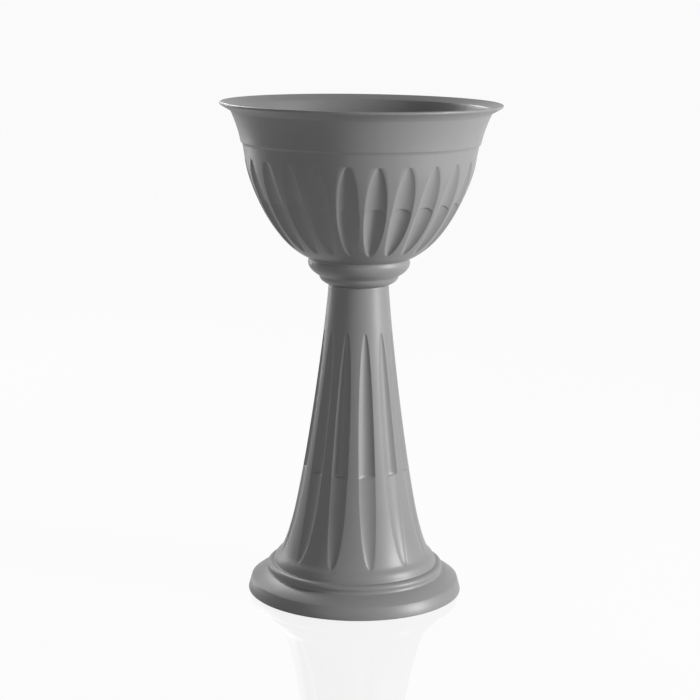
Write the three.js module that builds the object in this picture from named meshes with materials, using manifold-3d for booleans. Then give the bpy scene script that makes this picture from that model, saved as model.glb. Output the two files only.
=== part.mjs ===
// A garden planter in grey moulded plastic: a fluted bowl that plugs into a tall fluted column.
// Millimetres, +Z up. The origin is the centre of the column's foot, on the ground.
// Both mouldings are thin skins of revolution, closed up from rings of points that are joined in
// turn, so that a ring inside the fluting can carry more points than a plain one.
import * as THREE from 'three';
import { mergeVertices } from 'three/addons/utils/BufferGeometryUtils.js';
import Module from 'manifold-3d';

// Driving dimensions of the whole
const RIM_RADIUS = 200;
const RIM_HEIGHT = 711;
const SEAM_HEIGHT = 453.2;
const FOOT_RADIUS = 156;
const WALL = 3;
const SEAT_GAP = 0.3;

// How the bowl plugs into the column
const SOCKET_RADIUS = 40.2;
const SOCKET_DEPTH = 36;
const SPIGOT_TOP_RADIUS = 39.7;
const SPIGOT_TIP_RADIUS = 38.6;
const SPIGOT_LENGTH = 32;
const SPIGOT_WALL = 2.8;

// The drain in the bowl's floor, and its plug
const DRAIN_RADIUS = 9.4;
const PLUG_STEM_RADIUS = 9;
const PLUG_STEM_LENGTH = 9;
const PLUG_HEAD_RADIUS = 13;
const PLUG_HEAD_THICKNESS = 2;
const PLUG_WALL = 2.2;
const GRIP_WIDTH = 15;
const GRIP_HEIGHT = 7;
const GRIP_THICKNESS = 3.2;

// The fluting of the bowl: pointed ovals with a lower half that is cut deeper
const BOWL_FLUTES = {
  count: 24,
  phase: THREE.MathUtils.degToRad(8.5),
  top: 634.5,
  widest: 570.5,
  bottom: 506.5,
  halfWidth: 15.2,
  topFullness: 0.55,
  bottomFullness: 0.55,
  step: 574,
  stepArch: 6,
  depthAbove: 4.6,
  depthBelow: 6.4,
};

// The fluting of the column: long blades whose lower part is shallower, with a small shelf between
const COLUMN_FLUTES = {
  count: 12,
  phase: THREE.MathUtils.degToRad(12),
  top: 388,
  widest: 160,
  bottom: 58.5,
  halfWidth: 12,
  topFullness: 0.5,
  bottomFullness: 0.4,
  step: 184,
  stepArch: 0,
  depthAbove: 5,
  depthBelow: 2.6,
};

// Points round a plain ring, in multiples of each moulding's count of flutes
const BOWL_ROUND = BOWL_FLUTES.count * 3;
const COLUMN_ROUND = COLUMN_FLUTES.count * 5;
const SPIGOT_ROUND = 48;
const DRAIN_ROUND = 24;

// Places across a groove, from its centre to its crisp edge, as shares of its half width
const GROOVE_PLACES = [0, 0.55, 1];

const grey = (name, colour, roughness) =>
  new THREE.MeshStandardMaterial({ name, color: colour, roughness, metalness: 0 });
const MOULDED_GREY = grey('moulded_grey', '#77787a', 0.42);
const PLUG_GREY = grey('plug_grey', '#4c4d4f', 0.5);

// Sections are drawn in a half plane: x is the radius and y is the height
const line = (...ends) => ends.map(([radius, height]) => new THREE.Vector2(radius, height));

function bend(steps, ...controls) {
  const [a, b, c, d] = line(...controls);
  const curve = d ? new THREE.CubicBezierCurve(a, b, c, d) : new THREE.QuadraticBezierCurve(a, b, c);
  return curve.getPoints(steps);
}

// A section that always falls from top to bottom. It tells its radius and outward normal at a height.
class Meridian {
  constructor(points) {
    this.points = points;
  }

  at(height) {
    const last = this.points.length - 2;
    const found = this.points.findIndex((p, i) => i <= last && this.points[i + 1].y <= height);
    const index = found < 0 ? last : found;
    const upper = this.points[index];
    const lower = this.points[index + 1];
    const share = (upper.y - height) / (upper.y - lower.y);
    const along = new THREE.Vector2().subVectors(lower, upper).normalize();
    return {
      radius: THREE.MathUtils.lerp(upper.x, lower.x, share),
      normal: new THREE.Vector2(-along.y, along.x),
    };
  }
}

// The width and depth of a groove at a height, as the share of its widest
function fullness(flutes, height) {
  const isHigh = height > flutes.widest;
  const reach = isHigh ? flutes.top - flutes.widest : flutes.widest - flutes.bottom;
  const offset = (height - flutes.widest) / reach;
  const power = isHigh ? flutes.topFullness : flutes.bottomFullness;
  return Math.max(0, 1 - offset * offset) ** power;
}

function depthOf(flutes, height, isAboveStep) {
  return fullness(flutes, height) * (isAboveStep ? flutes.depthAbove : flutes.depthBelow);
}

// A ring is a list of { angle, position }, in rising order from the first flute's centre
function vertex(angle, radius, height) {
  const position = new THREE.Vector3(radius * Math.sin(angle), -radius * Math.cos(angle), height);
  return { angle, position };
}

function plainRing(count, phase, { x: radius, y: height }) {
  return Array.from({ length: count }, (_, i) => vertex(phase + (i * 2 * Math.PI) / count, radius, height));
}

const plainRings = (count, phase, section) => section.map((place) => plainRing(count, phase, place));

// Moves a point on the meridian in along its normal, by the wall it lies under and the groove's depth
function sunkVertex(meridian, angle, height, sink) {
  const { radius, normal } = meridian.at(height);
  return vertex(angle, radius - normal.x * sink, height - normal.y * sink);
}

// A ring round the outside through the flutes: each pitch has half a groove, a ridge, and half a groove
function flutedRing(meridian, flutes, height, isAboveStep, ridgePoints) {
  const pitch = (2 * Math.PI) / flutes.count;
  const widest = (fullness(flutes, height) * flutes.halfWidth) / meridian.at(height).radius;
  const across = [
    ...GROOVE_PLACES.map((place) => ({ offset: place * widest, place })),
    ...Array.from({ length: ridgePoints }, (_, i) => {
      const share = (i + 1) / (ridgePoints + 1);
      return { offset: THREE.MathUtils.lerp(widest, pitch - widest, share), place: 1 };
    }),
    ...GROOVE_PLACES.slice(1).reverse().map((place) => ({ offset: pitch - place * widest, place })),
  ];
  const ring = [];
  for (let k = 0; k < flutes.count; k += 1) {
    for (const { offset, place } of across) {
      const lowered = height - flutes.stepArch * archShare(flutes, height) * place ** 3;
      const sink = depthOf(flutes, height, isAboveStep) * (1 - place * place);
      ring.push(sunkVertex(meridian, flutes.phase + k * pitch + offset, lowered, sink));
    }
  }
  return ring;
}

// The arch of the step fades out over the rings near it
function archShare(flutes, height) {
  const reach = 18;
  return Math.max(0, 1 - Math.abs(height - flutes.step) / reach);
}

// A ring round the inside, where the wall follows the flutes as ribs, softer than the grooves outside
function ribbedRing(meridian, flutes, height, pointsPerPitch) {
  const count = flutes.count * pointsPerPitch;
  const depth = depthOf(flutes, height, height > flutes.step);
  return Array.from({ length: count }, (_, i) => {
    const turn = (i % pointsPerPitch) / pointsPerPitch;
    const rib = (1 + Math.cos(turn * 2 * Math.PI)) / 2;
    return sunkVertex(meridian, flutes.phase + (i * 2 * Math.PI) / count, height, WALL + depth * rib);
  });
}

// Joins two rings. With equal counts the points pair off, and otherwise the next angle goes first.
function joinRings(first, firstStart, second, secondStart, triangles) {
  const angleOf = (ring, i) => (i < ring.length ? ring[i].angle : ring[0].angle + 2 * Math.PI);
  let a = 0;
  let b = 0;
  while (a < first.length || b < second.length) {
    const pairs = first.length === second.length;
    const firstGoes = pairs ? a === b : angleOf(first, a + 1) <= angleOf(second, b + 1);
    const here = firstStart + (a % first.length);
    const there = secondStart + (b % second.length);
    if (b >= second.length || (a < first.length && firstGoes)) {
      triangles.push(here, there, firstStart + ((a + 1) % first.length));
      a += 1;
    } else {
      triangles.push(here, there, secondStart + ((b + 1) % second.length));
      b += 1;
    }
  }
}

// Closes a loop of rings, down the outside and up the inside, into one skin
function closedSkin(rings) {
  const starts = [];
  const positions = [];
  for (const ring of rings) {
    starts.push(positions.length / 3);
    for (const { position } of ring) {
      positions.push(position.x, position.y, position.z);
    }
  }
  const triangles = [];
  rings.forEach((ring, i) => {
    const next = (i + 1) % rings.length;
    joinRings(ring, starts[i], rings[next], starts[next], triangles);
  });
  const geometry = new THREE.BufferGeometry();
  geometry.setAttribute('position', new THREE.Float32BufferAttribute(positions, 3));
  geometry.setIndex(triangles);
  geometry.computeVertexNormals();
  return geometry;
}

// The bowl: lip, flared wall, small ledge, fluted body, and the two mouldings of its foot
function bowlGeometry() {
  const { phase } = BOWL_FLUTES;
  const lipCorner = [185.2, 700.5];
  const ledgeTop = [169.6, 655];
  const ledgeFoot = [167.2, 653];
  const friezeFoot = [162.6, 626];
  const bodyFoot = [72.2, 491];
  const neck = [44, SEAM_HEIGHT];

  const lip = line(
    [183.4, 703.6],
    [194.5, 709.6],
    [197.4, RIM_HEIGHT],
    [199.6, 709.9],
    [RIM_RADIUS, 708.2],
    [198.8, 706.6],
  );
  const wallOutside = bend(2, lipCorner, [173.9, 677], ledgeTop);
  const body = new Meridian([
    ...bend(12, ledgeFoot, [164.7, 640], friezeFoot),
    ...bend(90, friezeFoot, [158.8, 600.2], [128.3, 514.3], bodyFoot).slice(1),
  ]);
  const onBody = (height) => new THREE.Vector2(body.at(height).radius, height);
  const footMouldings = [
    ...line([71.9, 488.6], [72.8, 487]),
    ...bend(4, [73, 485], [72.9, 472.8], [58, 467], [57.6, 465.4]),
    ...bend(3, [56.6, 464.2], [56.4, 459], [48, 453.9], neck),
  ];
  const spigotTip = SEAM_HEIGHT - SPIGOT_LENGTH;
  const spigot = line(
    [SPIGOT_TOP_RADIUS, SEAM_HEIGHT],
    [SPIGOT_TIP_RADIUS, spigotTip + 1],
    [SPIGOT_TIP_RADIUS - 1, spigotTip],
    [SPIGOT_TIP_RADIUS - SPIGOT_WALL, spigotTip],
    [SPIGOT_TOP_RADIUS - SPIGOT_WALL, SEAM_HEIGHT],
  );
  const drain = line([DRAIN_RADIUS, SEAM_HEIGHT], [DRAIN_RADIUS, SEAM_HEIGHT + WALL]);
  const footInside = line(
    [40, SEAM_HEIGHT + WALL],
    [48, 458.4],
    [53, 464.5],
    [54.4, 468],
    [64.5, 475.5],
    [69.8, 485],
    [70.2, 492],
  );
  const grooveHeightsAbove = [630, 618, 600, BOWL_FLUTES.step + 0.4];
  const grooveHeightsBelow = [BOWL_FLUTES.step, 556, 538, 522, 511];
  const ribHeights = [BOWL_FLUTES.bottom, 516, 532, 552, 574, 596, 618, BOWL_FLUTES.top];
  const wallInside = bend(2, [166.4, 654], [170.8, 677], [182, 701.5]);

  return closedSkin([
    ...plainRings(BOWL_ROUND, phase, lip),
    ...plainRings(BOWL_ROUND, phase, wallOutside),
    ...plainRings(BOWL_ROUND, phase, [...line(ledgeFoot), onBody(BOWL_FLUTES.top)]),
    ...grooveHeightsAbove.map((height) => flutedRing(body, BOWL_FLUTES, height, true, 1)),
    ...grooveHeightsBelow.map((height) => flutedRing(body, BOWL_FLUTES, height, false, 1)),
    ...plainRings(BOWL_ROUND, phase, [onBody(BOWL_FLUTES.bottom), onBody(495.5)]),
    ...plainRings(SPIGOT_ROUND, phase, footMouldings),
    ...plainRings(SPIGOT_ROUND, phase, spigot),
    ...plainRings(DRAIN_ROUND, phase, drain),
    ...plainRings(SPIGOT_ROUND, phase, footInside),
    ...ribHeights.map((height) => ribbedRing(body, BOWL_FLUTES, height, 2)),
    ...plainRings(SPIGOT_ROUND, phase, wallInside),
  ]);
}

// The column: socket at the top, fluted shaft that flares out, a bead, and the plinth
function columnGeometry() {
  const { phase } = COLUMN_FLUTES;
  const top = SEAM_HEIGHT - SEAT_GAP;
  const shaft = new Meridian([
    ...bend(60, [43.1, 452], [45.7, 410], [63.9, 246.2], [86.6, 130]),
    ...bend(30, [86.6, 130], [91.4, 105.5], [103.3, 57.9], [112.5, 54]).slice(1),
  ]);
  const onShaft = (height) => new THREE.Vector2(shaft.at(height).radius, height);
  const topEdge = line([SOCKET_RADIUS + 0.5, top], [42.5, top], [43.2, top - 0.7]);
  const base = [
    ...bend(2, [112.5, 54], [117, 50], [119, 42]),
    ...bend(4, [119.6, 41.2], [124, 41.6], [128.4, 40], [128.4, 34.5]),
    ...bend(2, [127.7, 29.2], [140.5, 25.3], [151.3, 17]),
    ...line([FOOT_RADIUS - 0.4, 1.2], [FOOT_RADIUS - 1, 0]),
  ];
  const baseInside = line(
    [FOOT_RADIUS - 4.5, 0],
    [148.5, 13.6],
    [138.5, 21.2],
    [125, 25.8],
    [124, 35],
    [116.6, 38],
    [112, 48],
  );
  const grooveHeightsAbove = [373, 350, 315, 275, 232, 192, COLUMN_FLUTES.step + 1];
  const grooveHeightsBelow = [COLUMN_FLUTES.step, 158, 132, 109, 90, 74, 63];
  const ribHeights = [COLUMN_FLUTES.bottom, 74, 100, 140, 182, 225, 280, 335, COLUMN_FLUTES.top];
  const socketFoot = top - SOCKET_DEPTH;
  const socket = line([42.8, socketFoot - 3], [SOCKET_RADIUS, socketFoot], [SOCKET_RADIUS, top - 0.5]);

  return closedSkin([
    ...plainRings(COLUMN_ROUND, phase, topEdge),
    ...plainRings(COLUMN_ROUND, phase, [onShaft(440), onShaft(414), onShaft(COLUMN_FLUTES.top)]),
    ...grooveHeightsAbove.map((height) => flutedRing(shaft, COLUMN_FLUTES, height, true, 2)),
    ...grooveHeightsBelow.map((height) => flutedRing(shaft, COLUMN_FLUTES, height, false, 2)),
    ...plainRings(COLUMN_ROUND, phase, [onShaft(COLUMN_FLUTES.bottom)]),
    ...plainRings(COLUMN_ROUND, phase, base),
    ...plainRings(COLUMN_ROUND, phase, baseInside.slice(0, 1)),
    ...plainRings(COLUMN_FLUTES.count * 4, phase, baseInside.slice(1)),
    ...ribHeights.map((height) => ribbedRing(shaft, COLUMN_FLUTES, height, 4)),
    ...plainRings(COLUMN_FLUTES.count * 4, phase, socket),
  ]);
}

const wasm = await Module();
wasm.setup();

function solidOf(geometry) {
  const bare = geometry.clone();
  bare.deleteAttribute('normal');
  bare.deleteAttribute('uv');
  const merged = mergeVertices(bare);
  const vertProperties = new Float32Array(merged.attributes.position.array);
  const triVerts = new Uint32Array(merged.index.array);
  return new wasm.Manifold(new wasm.Mesh({ numProp: 3, vertProperties, triVerts }));
}

function geometryOf(solid) {
  const { vertProperties, triVerts } = solid.getMesh();
  const geometry = new THREE.BufferGeometry();
  geometry.setAttribute('position', new THREE.Float32BufferAttribute(vertProperties, 3));
  geometry.setIndex(new THREE.Uint32BufferAttribute(triVerts, 1));
  geometry.computeVertexNormals();
  return geometry;
}

// The drain plug: a headed cup that fills the hole, with an upright grip to pull it by
function plugGeometry() {
  const seat = SEAM_HEIGHT + WALL + SEAT_GAP;
  const headTop = seat + PLUG_HEAD_THICKNESS;
  const tip = seat - PLUG_STEM_LENGTH;
  const cup = new THREE.LatheGeometry(
    line(
      [0, seat],
      [PLUG_STEM_RADIUS - PLUG_WALL, seat],
      [PLUG_STEM_RADIUS - PLUG_WALL, tip],
      [PLUG_STEM_RADIUS - 0.8, tip],
      [PLUG_STEM_RADIUS, tip + 1.6],
      [PLUG_STEM_RADIUS, seat],
      [PLUG_HEAD_RADIUS, seat],
      [PLUG_HEAD_RADIUS, headTop - 0.6],
      [PLUG_HEAD_RADIUS - 0.6, headTop],
      [0, headTop],
    ),
    DRAIN_ROUND,
  ).rotateX(Math.PI / 2);
  const corner = GRIP_WIDTH / 4;
  const outline = new THREE.Shape()
    .moveTo(-GRIP_WIDTH / 2, -PLUG_HEAD_THICKNESS / 2)
    .lineTo(GRIP_WIDTH / 2, -PLUG_HEAD_THICKNESS / 2)
    .lineTo(GRIP_WIDTH / 2, GRIP_HEIGHT - corner)
    .absarc(GRIP_WIDTH / 2 - corner, GRIP_HEIGHT - corner, corner, 0, Math.PI / 2)
    .absarc(corner - GRIP_WIDTH / 2, GRIP_HEIGHT - corner, corner, Math.PI / 2, Math.PI);
  const grip = new THREE.ExtrudeGeometry(outline, {
    depth: GRIP_THICKNESS,
    bevelEnabled: false,
    curveSegments: 4,
  })
    .translate(0, 0, -GRIP_THICKNESS / 2)
    .rotateX(Math.PI / 2)
    .translate(0, 0, headTop);
  return geometryOf(solidOf(cup).add(solidOf(grip)));
}

function named(name, geometry, material) {
  const mesh = new THREE.Mesh(geometry, material);
  mesh.name = name;
  return mesh;
}

const planter = new THREE.Group();
planter.add(named('column', columnGeometry(), MOULDED_GREY));
planter.add(named('bowl', bowlGeometry(), MOULDED_GREY));
planter.add(named('drain_plug', plugGeometry(), PLUG_GREY));

export default planter;
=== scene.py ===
import math

import bpy
import numpy as np
from mathutils import Euler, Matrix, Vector


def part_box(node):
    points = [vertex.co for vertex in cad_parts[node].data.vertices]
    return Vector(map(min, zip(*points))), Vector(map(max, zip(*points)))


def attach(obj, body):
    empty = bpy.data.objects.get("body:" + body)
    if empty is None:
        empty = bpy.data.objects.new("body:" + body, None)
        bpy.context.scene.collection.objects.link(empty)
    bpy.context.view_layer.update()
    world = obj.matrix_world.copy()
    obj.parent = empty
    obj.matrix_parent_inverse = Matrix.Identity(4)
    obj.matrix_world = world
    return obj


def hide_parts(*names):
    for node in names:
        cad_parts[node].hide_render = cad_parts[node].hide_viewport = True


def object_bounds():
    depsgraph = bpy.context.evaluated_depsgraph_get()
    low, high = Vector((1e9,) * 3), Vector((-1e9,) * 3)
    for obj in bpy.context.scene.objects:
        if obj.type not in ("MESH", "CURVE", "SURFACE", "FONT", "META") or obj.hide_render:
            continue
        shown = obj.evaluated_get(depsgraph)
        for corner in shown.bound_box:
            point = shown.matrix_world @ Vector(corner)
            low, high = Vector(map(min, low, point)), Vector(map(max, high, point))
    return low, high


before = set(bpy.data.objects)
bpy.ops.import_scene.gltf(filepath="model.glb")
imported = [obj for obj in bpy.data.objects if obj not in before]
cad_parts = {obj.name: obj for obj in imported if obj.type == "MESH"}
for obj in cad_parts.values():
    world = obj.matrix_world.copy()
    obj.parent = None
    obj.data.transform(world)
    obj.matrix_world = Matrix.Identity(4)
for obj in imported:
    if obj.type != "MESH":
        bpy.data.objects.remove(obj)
cad_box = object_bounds()

# The looks of a garden planter in grey moulded plastic: a fluted bowl on a tall fluted column.
# Sections are drawn in millimetres, as (radius, height), and the scene is in metres.
MM = 0.001
TURN = 2 * math.pi

# Driving dimensions of the whole. The rim's are read from the frame.
RIM_RADIUS = round(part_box("bowl")[1].x / MM)
RIM_HEIGHT = cad_box[1].z / MM
SEAM_HEIGHT = 453.2
FOOT_RADIUS = 156.0
FOOT_RING = 4.5
WALL = 3.0
SEAT_GAP = 0.3

# How the bowl plugs into the column, and the drain in its floor
SOCKET_RADIUS = 40.2
SOCKET_DEPTH = 36.0
SPIGOT_TOP_RADIUS = 39.7
SPIGOT_TIP_RADIUS = 38.6
SPIGOT_LENGTH = 32.0
SPIGOT_WALL = 2.8
DRAIN_RADIUS = 9.4

# Places in the bowl's section where one form ends and the next begins
LIP_CORNER = (185.2, 700.5)
LEDGE_TOP = (169.6, 655.0)
LEDGE_FOOT = (167.2, 653.0)
FRIEZE_FOOT = (162.6, 626.0)
BODY_FOOT = (72.2, 491.0)
NECK = (44.0, SEAM_HEIGHT)
FLOOR_EDGE = (40.0, SEAM_HEIGHT + WALL)
LIP_INSIDE = (182.0, 701.5)
LEDGE_INSIDE = (166.4, 654.0)

# The same for the column's section
COLUMN_TOP = SEAM_HEIGHT - SEAT_GAP
SHAFT_TOP = (43.1, 452.0)
FLARE_TOP = (86.6, 130.0)
FLARE_FOOT = (112.5, 54.0)
PLINTH_SHOULDER = (151.3, 17.0)

# The fluting of the bowl: pointed ovals with a lower half that is cut deeper. The half width and
# the depths are those at the widest height. The fillet is on the deeper side of the step.
BOWL_FLUTES = {
    "count": 24,
    "phase": math.radians(8.5),
    "top": 634.5,
    "widest": 570.5,
    "bottom": 506.5,
    "half_width": 15.2,
    "top_power": 0.55,
    "bottom_power": 0.55,
    "step": 574.0,
    "arch": 6.0,
    "depth_above": 4.6,
    "depth_below": 6.4,
    "fillet": 3.0,
    "ridge_points": 4,
}

# The fluting of the column: long blades whose lower part is shallower, with a small shelf between
COLUMN_FLUTES = {
    "count": 12,
    "phase": math.radians(12),
    "top": 388.0,
    "widest": 160.0,
    "bottom": 58.5,
    "half_width": 12.0,
    "top_power": 0.5,
    "bottom_power": 0.4,
    "step": 184.0,
    "arch": 0.0,
    "depth_above": 5.0,
    "depth_below": 2.6,
    "fillet": 6.0,
    "ridge_points": 14,
}

# How far above and below the step its arch fades out, and the power of its curve across a groove
ARCH_REACH = 18.0
ARCH_POWER = 3

# The mesh across a groove: places from its centre to its crisp edge, as shares of its half width.
# At the tips the points keep the least half width. A ring without grooves has the plain one, which
# takes no more of the turn than it does at the least radius.
GROOVE_PLACES = np.array([0, 0.14, 0.28, 0.42, 0.56, 0.7, 0.82, 0.92, 0.98, 1.0])
LEAST_HALF_WIDTH = 1.0
PLAIN_HALF_WIDTH = 4.0
LEAST_GRID_RADIUS = 40.0
TINY = 1e-6

# The mesh down a groove: closer rows near the tips and in the fillet of the step
PAST_TIP = 0.5
TIP_LENGTH = 6.0
TIP_SPACING = 0.8
CLEAR_OF_STEP = 1.0
STEP_EDGE = 0.02
FILLET_ROWS = 9
CLEAR_OF_FLUTES = 1.0

# Rounding of a corner takes at most this share of each side
MOST_OF_SIDE = 0.45

# The two plastics
MOULDED_GREY = (0.212, 0.212, 0.214)
MOULDED_ROUGHNESS = 0.42
PLUG_GREY = (0.07, 0.07, 0.072)
PLUG_ROUGHNESS = 0.5
SPECULAR_LEVEL = 0.4

# Their unevenness: clouds in the tint and the gloss, and the mould's fine grain. The spreads go to
# either side, and the grain's height is in metres.
CLOUD_SCALE = 14
CLOUD_DETAIL = 4
TINT_SPREAD = 0.05
GLOSS_SPREAD = 0.04
GRAIN_SCALE = 900
GRAIN_DETAIL = 2
GRAIN_STRENGTH = 0.12
GRAIN_HEIGHT = 0.0002

# The floor, just under the foot. Its glow is the share that is plain white to the camera, and its
# polish the share of the rest that is a mirror. What is left is matt and takes the shadow.
FLOOR_SIZE = 240.0
FLOOR_DROP = 0.0002
FLOOR_TINT = 0.5
FLOOR_ROUGHNESS = 0.9
FLOOR_GLOW = 0.86
FLOOR_POLISH = 0.7
MIRROR_ROUGHNESS = 0.04

# The camera, fitted to the ellipses of rim, collar and foot, with lens and sensor in millimetres
CAMERA_PLACE = (0.0, -2.615, 0.878)
CAMERA_PITCH = math.radians(-11.3)
CAMERA_YAW = math.radians(0.245)
CAMERA_ROLL = math.radians(0.79)
CAMERA_LENS = 95.04
SENSOR = 36.0

# The light: dim surroundings, and soft lamps with their sizes in metres and powers in watts
WHITE = (1, 1, 1, 1)
WORLD_LIGHT = 0.025
MIDDLE = (0, 0, 0.4)
RIM_MIDDLE = (0, 0, 0.7)
LAMPS = (
    {"name": "key_softbox", "place": (2.4, -0.82, 1.05), "aim": MIDDLE, "size": (0.5, 1.1), "power": 97},
    {"name": "front_fill", "place": (-1.3, -2.4, 1.3), "aim": MIDDLE, "size": (1.6, 1.6), "power": 11},
    {"name": "left_strip", "place": (-1.65, 1.65, 1.0), "aim": MIDDLE, "size": (0.35, 2.0), "power": 19},
    {"name": "rim_light", "place": (-1.0, 2.1, 1.8), "aim": RIM_MIDDLE, "size": (0.5, 0.5), "power": 22},
)


def bend(*controls, steps):
    """Points along a Bezier curve with three or four controls."""
    along = np.linspace(0, 1, steps + 1)[:, None]
    points = [np.array(control, float) for control in controls]
    while len(points) > 1:
        pairs = zip(points, points[1:])
        points = [start * (1 - along) + end * along for start, end in pairs]
    return points[0]


def corner(before, at, after, radius, steps=4):
    """Rounds the corner of a section at a point, by up to that radius along each side."""
    before, at, after = (np.array(point, float) for point in (before, at, after))
    back = before - at
    ahead = after - at
    start = at + back * min(MOST_OF_SIDE, radius / np.linalg.norm(back))
    end = at + ahead * min(MOST_OF_SIDE, radius / np.linalg.norm(ahead))
    return bend(start, at, end, steps=steps)


def rounded(points, radius, steps=4):
    """The inner corners of an open section, each rounded. Its two end points are left out."""
    triples = zip(points, points[1:], points[2:])
    return np.vstack([corner(*triple, radius, steps) for triple in triples])


class Meridian:
    """A section that falls from top to bottom, and tells its radius and outward normal at a height."""

    def __init__(self, points):
        self.radii, self.heights = points[::-1].T
        slope = np.gradient(self.radii, self.heights)
        self.normals = np.stack([np.ones_like(slope), -slope], 1) / np.hypot(1, slope)[:, None]

    def at(self, heights):
        radius = np.interp(heights, self.heights, self.radii)
        normal = np.stack([np.interp(heights, self.heights, part) for part in self.normals.T], -1)
        return radius, normal


def fullness(flutes, height):
    """The width and depth of a groove at a height, as the share of its widest."""
    is_high = height > flutes["widest"]
    reach = flutes["top"] - flutes["widest"] if is_high else flutes["widest"] - flutes["bottom"]
    power = flutes["top_power"] if is_high else flutes["bottom_power"]
    offset = (height - flutes["widest"]) / reach
    return max(0, 1 - offset * offset) ** power


def deeper_side(flutes):
    """One where the grooves are deeper above the step, and minus one where they are deeper below."""
    return 1 if flutes["depth_above"] > flutes["depth_below"] else -1


def depth(flutes, height):
    """How deep a groove is cut at its centre, with the fillet on the deeper side of the step."""
    deeper = max(flutes["depth_above"], flutes["depth_below"])
    shallower = min(flutes["depth_above"], flutes["depth_below"])
    from_step = (height - flutes["step"]) * deeper_side(flutes)
    if from_step <= 0:
        return fullness(flutes, height) * shallower
    near = max(0, 1 - from_step / flutes["fillet"])
    filleted = deeper - (deeper - shallower) * (1 - math.sqrt(1 - near * near))
    return fullness(flutes, height) * filleted


def grid_offsets(flutes, half_width):
    """Angles across one pitch of a ring: half a groove, the ridge, and half a groove."""
    pitch = TURN / flutes["count"]
    ridge = np.linspace(half_width, pitch - half_width, flutes["ridge_points"] + 2)[1:-1]
    return np.concatenate([GROOVE_PLACES * half_width, ridge, pitch - GROOVE_PLACES[:0:-1] * half_width])


def plain_offsets(flutes, radius):
    """The same number of angles, for a ring without grooves."""
    return grid_offsets(flutes, PLAIN_HALF_WIDTH / max(radius, LEAST_GRID_RADIUS))


def wrap(flutes, across, radii, heights):
    """Repeats one pitch of a ring round the axis, in metres."""
    turns = flutes["phase"] + np.arange(flutes["count"])[:, None] * TURN / flutes["count"]
    angles = (turns + across).ravel()
    radii = np.tile(radii, flutes["count"])
    heights = np.tile(heights, flutes["count"])
    return np.stack([radii * np.sin(angles), -radii * np.cos(angles), heights], 1) * MM


def fluted_ring(meridian, flutes, height):
    """A ring round the outside, sunk into the grooves along the meridian's normal."""
    pitch = TURN / flutes["count"]
    radius = float(meridian.at(height)[0])
    half_width = fullness(flutes, height) * flutes["half_width"]
    across = grid_offsets(flutes, max(half_width, LEAST_HALF_WIDTH) / radius)
    from_centre = np.minimum(across, pitch - across) * radius
    place = np.minimum(1, from_centre / max(half_width, TINY))
    arch_share = max(0, 1 - abs(height - flutes["step"]) / ARCH_REACH)
    lowered = height - flutes["arch"] * arch_share * place ** ARCH_POWER
    sink = depth(flutes, height) * (1 - place * place)
    radii, normals = meridian.at(lowered)
    return wrap(flutes, across, radii - normals[:, 0] * sink, lowered - normals[:, 1] * sink)


def ribbed_ring(meridian, flutes, height):
    """A ring round the inside, where the wall follows the flutes as soft ribs."""
    radius, normal = meridian.at(height)
    across = plain_offsets(flutes, float(radius))
    rib = (1 + np.cos(across * flutes["count"])) / 2
    sink = WALL + depth(flutes, height) * rib
    return wrap(flutes, across, radius - normal[0] * sink, height - normal[1] * sink)


def fluted_rings(meridian, flutes, heights):
    return [fluted_ring(meridian, flutes, height) for height in heights]


def ribbed_rings(meridian, flutes, heights):
    return [ribbed_ring(meridian, flutes, height) for height in heights]


def plain_rings(flutes, section):
    rings = []
    for radius, height in section:
        across = plain_offsets(flutes, radius)
        rings.append(wrap(flutes, across, np.full(across.shape, radius), np.full(across.shape, height)))
    return rings


def heights_between(first, last, spacing):
    """Even rows from one height to another, with a negative spacing where they go up."""
    return np.linspace(first, last, max(2, round((first - last) / spacing) + 1))


def flute_heights(flutes, spacing):
    """Rows down the fluting, closer together at the tips and at the step. Rows that meet count once."""
    step = flutes["step"]
    fillet_end = step + deeper_side(flutes) * flutes["fillet"]
    along = 1 - np.cos(np.linspace(0, TURN / 4, FILLET_ROWS))
    rows = np.concatenate([
        heights_between(flutes["top"] + PAST_TIP, flutes["top"] - TIP_LENGTH, TIP_SPACING),
        heights_between(flutes["top"] - TIP_LENGTH, max(step, fillet_end) + CLEAR_OF_STEP, spacing),
        step + (fillet_end - step) * along + STEP_EDGE,
        [step - STEP_EDGE, step + STEP_EDGE],
        heights_between(min(step, fillet_end) - CLEAR_OF_STEP, flutes["bottom"] + TIP_LENGTH, spacing),
        heights_between(flutes["bottom"] + TIP_LENGTH, flutes["bottom"] - PAST_TIP, TIP_SPACING),
    ])
    return np.unique(rows.round(3))[::-1]


def closed_skin(name, rings):
    """Closes a loop of like rings, down the outside and up the inside, into one smooth mesh."""
    count = len(rings[0])
    here = np.arange(count)
    beside = (here + 1) % count
    faces = []
    for ring in range(len(rings)):
        high = ring * count
        low = ((ring + 1) % len(rings)) * count
        faces.append(np.stack([high + here, low + here, low + beside, high + beside], 1))
    mesh = bpy.data.meshes.new(name)
    mesh.from_pydata(np.vstack(rings).tolist(), [], np.vstack(faces).tolist())
    mesh.polygons.foreach_set("use_smooth", [True] * len(mesh.polygons))
    mesh.update()
    piece = bpy.data.objects.new(name, mesh)
    bpy.context.scene.collection.objects.link(piece)
    return piece


def bowl_body():
    """The meridian of the frieze and the fluted body, between the ledge and the foot."""
    frieze = bend(LEDGE_FOOT, (164.7, 640.0), FRIEZE_FOOT, steps=60)
    body = bend(FRIEZE_FOOT, (158.8, 600.2), (128.3, 514.3), BODY_FOOT, steps=400)
    return Meridian(np.vstack([frieze, body[1:]]))


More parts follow.
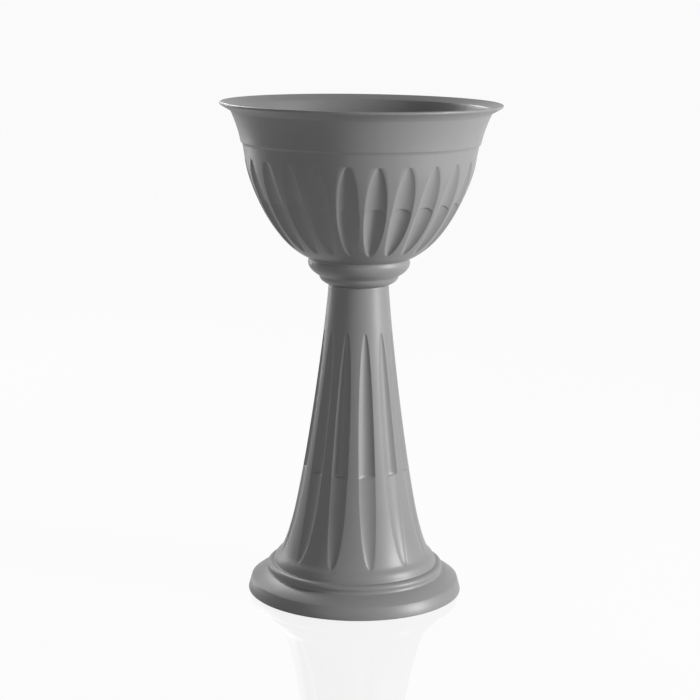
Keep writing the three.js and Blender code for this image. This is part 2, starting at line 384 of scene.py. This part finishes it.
def bowl_rim():
    """Over the lip and down the flared wall to the small ledge."""
    lip = rounded([
        LIP_INSIDE, (183.4, 703.6), (194.5, 709.6), (197.4, RIM_HEIGHT), (199.6, 709.9),
        (RIM_RADIUS, 708.2), (198.8, 706.6), LIP_CORNER,
    ], radius=1.2)
    wall = bend(LIP_CORNER, (173.9, 677.0), LEDGE_TOP, steps=20)
    ledge = corner(wall[-2], LEDGE_TOP, LEDGE_FOOT, radius=0.8)
    return np.vstack([lip, wall[1:-1], ledge])


def bowl_foot():
    """The fillet, torus and ovolo under the body, down to the seam."""
    fillet = bend(BODY_FOOT, (71.4, 488.2), (72.8, 487.0), steps=4)
    torus = bend((73.0, 485.0), (72.9, 472.8), (58.0, 467.0), (57.6, 465.4), steps=20)
    ovolo = bend((56.6, 464.2), (56.4, 459.0), (48.0, 453.9), NECK, steps=14)
    return np.vstack([fillet, torus, ovolo])


def bowl_spigot():
    """Round the spigot under the floor, and up through the drain."""
    tip = SEAM_HEIGHT - SPIGOT_LENGTH
    return rounded([
        NECK, (SPIGOT_TOP_RADIUS, SEAM_HEIGHT), (SPIGOT_TIP_RADIUS, tip),
        (SPIGOT_TIP_RADIUS - SPIGOT_WALL, tip), (SPIGOT_TOP_RADIUS - SPIGOT_WALL, SEAM_HEIGHT),
        (DRAIN_RADIUS, SEAM_HEIGHT), (DRAIN_RADIUS, SEAM_HEIGHT + WALL), FLOOR_EDGE,
    ], radius=0.8, steps=3)


def bowl_foot_inside():
    """From the floor up the inside of the foot."""
    return rounded([
        FLOOR_EDGE, (48.0, 458.4), (53.0, 464.5), (54.4, 468.0), (64.5, 475.5), (69.8, 485.0),
        (70.2, 492.0), (74.0, 500.0),
    ], radius=3.0)


def bowl_rim_inside():
    """From the ribs up the inside of the frieze and the wall, to the lip."""
    frieze = bend((160.4, 634.0), (162.6, 646.0), LEDGE_INSIDE, steps=6)
    wall = bend(LEDGE_INSIDE, (170.8, 677.0), LIP_INSIDE, steps=16)
    return np.vstack([frieze, wall[1:]])


def make_bowl():
    flutes = BOWL_FLUTES
    body = bowl_body()
    below_ledge = 0.4
    above_foot = 0.5
    frieze_rows = heights_between(
        LEDGE_FOOT[1] - below_ledge, flutes["top"] + CLEAR_OF_FLUTES, spacing=2.5)
    lower_rows = heights_between(
        flutes["bottom"] - CLEAR_OF_FLUTES, BODY_FOOT[1] + above_foot, spacing=2)
    return closed_skin("bowl_moulding", [
        *plain_rings(flutes, bowl_rim()),
        *fluted_rings(body, flutes, frieze_rows),
        *fluted_rings(body, flutes, flute_heights(flutes, spacing=2.5)),
        *fluted_rings(body, flutes, lower_rows),
        *plain_rings(flutes, bowl_foot()),
        *plain_rings(flutes, bowl_spigot()),
        *plain_rings(flutes, bowl_foot_inside()),
        *ribbed_rings(body, flutes, heights_between(flutes["bottom"], flutes["top"], spacing=-3.5)),
        *plain_rings(flutes, bowl_rim_inside()),
    ])


def column_shaft():
    """The meridian of the fluted shaft and of its flare down to the base."""
    shaft = bend(SHAFT_TOP, (45.7, 410.0), (63.9, 246.2), FLARE_TOP, steps=400)
    flare = bend(FLARE_TOP, (91.4, 105.5), (103.3, 57.9), FLARE_FOOT, steps=200)
    return Meridian(np.vstack([shaft, flare[1:]]))


def column_top_edge():
    """From the socket over the column's top."""
    return rounded([
        (SOCKET_RADIUS, COLUMN_TOP - 2), (SOCKET_RADIUS, COLUMN_TOP), (43.2, COLUMN_TOP),
        (43.3, COLUMN_TOP - 4),
    ], radius=0.8)


def column_base():
    """The moulding under the flare, the bead, the plinth, and the hollow under them."""
    moulding = bend(FLARE_FOOT, (117.0, 50.0), (119.0, 42.0), steps=8)
    bead = bend((119.6, 41.2), (124.0, 41.6), (128.4, 40.0), (128.4, 34.5), steps=12)
    plinth = bend((127.7, 29.2), (140.5, 25.3), PLINTH_SHOULDER, steps=14)
    foot_and_hollow = rounded([
        PLINTH_SHOULDER, (FOOT_RADIUS, 0.0), (FOOT_RADIUS - FOOT_RING, 0.0), (148.5, 13.6),
        (138.5, 21.2), (125.0, 25.8), (124.0, 35.0), (116.6, 38.0), (112.0, 48.0), (99.0, 58.0),
    ], radius=1.0)
    return np.vstack([moulding, bead, plinth, foot_and_hollow])


def column_socket():
    """From the hollow shaft in to the socket's wall, and up to just under the top edge."""
    foot = COLUMN_TOP - SOCKET_DEPTH
    return [(42.8, foot - 3), (SOCKET_RADIUS, foot), (SOCKET_RADIUS, COLUMN_TOP - 3)]


def make_column():
    flutes = COLUMN_FLUTES
    shaft = column_shaft()
    under_top_edge = 448
    above_hollow = 2
    upper_rows = heights_between(under_top_edge, flutes["top"] + CLEAR_OF_FLUTES, spacing=4)
    inside_rows = heights_between(flutes["bottom"] + above_hollow, flutes["top"], spacing=-5)
    return closed_skin("column_moulding", [
        *plain_rings(flutes, column_top_edge()),
        *fluted_rings(shaft, flutes, upper_rows),
        *fluted_rings(shaft, flutes, flute_heights(flutes, spacing=4)),
        *plain_rings(flutes, column_base()),
        *ribbed_rings(shaft, flutes, inside_rows),
        *plain_rings(flutes, column_socket()),
    ])


def moulded_plastic(name, colour, roughness):
    """Satin moulded plastic: slight clouding of the tint, and a fine grain from the mould."""
    material = bpy.data.materials.new(name)
    material.use_nodes = True
    nodes, links = material.node_tree.nodes, material.node_tree.links
    shader = nodes["Principled BSDF"]
    shader.inputs["Specular IOR Level"].default_value = SPECULAR_LEVEL
    place = nodes.new("ShaderNodeTexCoord")
    clouds = nodes.new("ShaderNodeTexNoise")
    clouds.inputs["Scale"].default_value = CLOUD_SCALE
    clouds.inputs["Detail"].default_value = CLOUD_DETAIL
    tint = nodes.new("ShaderNodeMix")
    tint.data_type = "RGBA"
    tint.inputs["A"].default_value = (*[channel * (1 - TINT_SPREAD) for channel in colour], 1)
    tint.inputs["B"].default_value = (*[channel * (1 + TINT_SPREAD) for channel in colour], 1)
    gloss = nodes.new("ShaderNodeMapRange")
    gloss.inputs["To Min"].default_value = roughness - GLOSS_SPREAD
    gloss.inputs["To Max"].default_value = roughness + GLOSS_SPREAD
    grain = nodes.new("ShaderNodeTexNoise")
    grain.inputs["Scale"].default_value = GRAIN_SCALE
    grain.inputs["Detail"].default_value = GRAIN_DETAIL
    bump = nodes.new("ShaderNodeBump")
    bump.inputs["Strength"].default_value = GRAIN_STRENGTH
    bump.inputs["Distance"].default_value = GRAIN_HEIGHT
    links.new(place.outputs["Object"], clouds.inputs["Vector"])
    links.new(place.outputs["Object"], grain.inputs["Vector"])
    links.new(clouds.outputs["Fac"], tint.inputs["Factor"])
    links.new(tint.outputs["Result"], shader.inputs["Base Color"])
    links.new(clouds.outputs["Fac"], gloss.inputs["Value"])
    links.new(gloss.outputs["Result"], shader.inputs["Roughness"])
    links.new(grain.outputs["Fac"], bump.inputs["Height"])
    links.new(bump.outputs["Normal"], shader.inputs["Normal"])
    return material


def scaled(nodes, links, value, factor):
    """A node's output, times a fixed factor."""
    product = nodes.new("ShaderNodeMath")
    product.operation = "MULTIPLY"
    product.inputs[1].default_value = factor
    links.new(value, product.inputs[0])
    return product.outputs[0]


def sees_background(nodes, links):
    """One for the rays that show the background: the camera's, and those in gloss and glass."""
    seen = nodes.new("ShaderNodeLightPath")
    total = seen.outputs["Is Camera Ray"]
    for kind in ("Is Glossy Ray", "Is Transmission Ray"):
        most = nodes.new("ShaderNodeMath")
        most.operation = "MAXIMUM"
        links.new(total, most.inputs[0])
        links.new(seen.outputs[kind], most.inputs[1])
        total = most.outputs[0]
    return total


def floor_material():
    """Pale and matt, and to the camera nearly white, with a faint reflection of the object."""
    material = bpy.data.materials.new("pale_floor")
    material.use_nodes = True
    nodes, links = material.node_tree.nodes, material.node_tree.links
    matt = nodes["Principled BSDF"]
    matt.inputs["Base Color"].default_value = (FLOOR_TINT, FLOOR_TINT, FLOOR_TINT, 1)
    matt.inputs["Roughness"].default_value = FLOOR_ROUGHNESS
    matt.inputs["Specular IOR Level"].default_value = 0
    mirror = nodes.new("ShaderNodeBsdfGlossy")
    mirror.inputs["Color"].default_value = WHITE
    mirror.inputs["Roughness"].default_value = MIRROR_ROUGHNESS
    glow = nodes.new("ShaderNodeEmission")
    glow.inputs["Color"].default_value = WHITE
    camera_ray = nodes.new("ShaderNodeLightPath").outputs["Is Camera Ray"]
    polished = nodes.new("ShaderNodeMixShader")
    links.new(scaled(nodes, links, camera_ray, FLOOR_POLISH), polished.inputs["Fac"])
    links.new(matt.outputs[0], polished.inputs[1])
    links.new(mirror.outputs[0], polished.inputs[2])
    surface = nodes.new("ShaderNodeMixShader")
    links.new(scaled(nodes, links, sees_background(nodes, links), FLOOR_GLOW), surface.inputs["Fac"])
    links.new(polished.outputs[0], surface.inputs[1])
    links.new(glow.outputs[0], surface.inputs[2])
    links.new(surface.outputs[0], nodes["Material Output"].inputs["Surface"])
    return material


def make_floor():
    bpy.ops.mesh.primitive_plane_add(size=FLOOR_SIZE, location=(0, 0, -FLOOR_DROP))
    floor = bpy.context.object
    floor.name = "floor"
    floor.data.materials.append(floor_material())


def set_world():
    """Plain surroundings: dim light on the object, and white to the camera and in reflections."""
    world = bpy.data.worlds.new("studio")
    bpy.context.scene.world = world
    world.use_nodes = True
    nodes, links = world.node_tree.nodes, world.node_tree.links
    dim = nodes["Background"]
    dim.inputs["Color"].default_value = WHITE
    dim.inputs["Strength"].default_value = WORLD_LIGHT
    white = nodes.new("ShaderNodeBackground")
    white.inputs["Color"].default_value = WHITE
    white.inputs["Strength"].default_value = 1
    mix = nodes.new("ShaderNodeMixShader")
    links.new(sees_background(nodes, links), mix.inputs["Fac"])
    links.new(dim.outputs[0], mix.inputs[1])
    links.new(white.outputs[0], mix.inputs[2])
    links.new(mix.outputs[0], nodes["World Output"].inputs["Surface"])


def add_lamp(name, place, aim, size, power):
    lamp = bpy.data.lights.new(name, "AREA")
    lamp.shape = "RECTANGLE"
    lamp.size, lamp.size_y = size
    lamp.energy = power
    holder = bpy.data.objects.new(name, lamp)
    bpy.context.scene.collection.objects.link(holder)
    holder.location = place
    holder.rotation_euler = (Vector(aim) - Vector(place)).to_track_quat("-Z", "Y").to_euler()
    holder.visible_camera = False


def set_camera():
    camera = bpy.data.objects.new("camera", bpy.data.cameras.new("camera"))
    bpy.context.scene.collection.objects.link(camera)
    camera.data.sensor_width = SENSOR
    camera.data.lens = CAMERA_LENS
    camera.location = CAMERA_PLACE
    aim = Euler((TURN / 4 + CAMERA_PITCH, 0, CAMERA_YAW), "XYZ").to_matrix()
    roll = Euler((0, 0, CAMERA_ROLL), "XYZ").to_matrix()
    camera.rotation_euler = (aim @ roll).to_euler()
    bpy.context.scene.camera = camera


set_camera()
make_floor()
set_world()
for lamp in LAMPS:
    add_lamp(**lamp)

moulded_grey = moulded_plastic("moulded_grey", MOULDED_GREY, MOULDED_ROUGHNESS)
plug_grey = moulded_plastic("plug_grey", PLUG_GREY, PLUG_ROUGHNESS)

for moulding, node in ((make_bowl(), "bowl"), (make_column(), "column")):
    moulding.data.materials.append(moulded_grey)
    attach(moulding, node)
    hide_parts(node)

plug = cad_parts["drain_plug"]
plug.data.materials.clear()
plug.data.materials.append(plug_grey)

bpy.context.scene.view_settings.view_transform = "Standard"
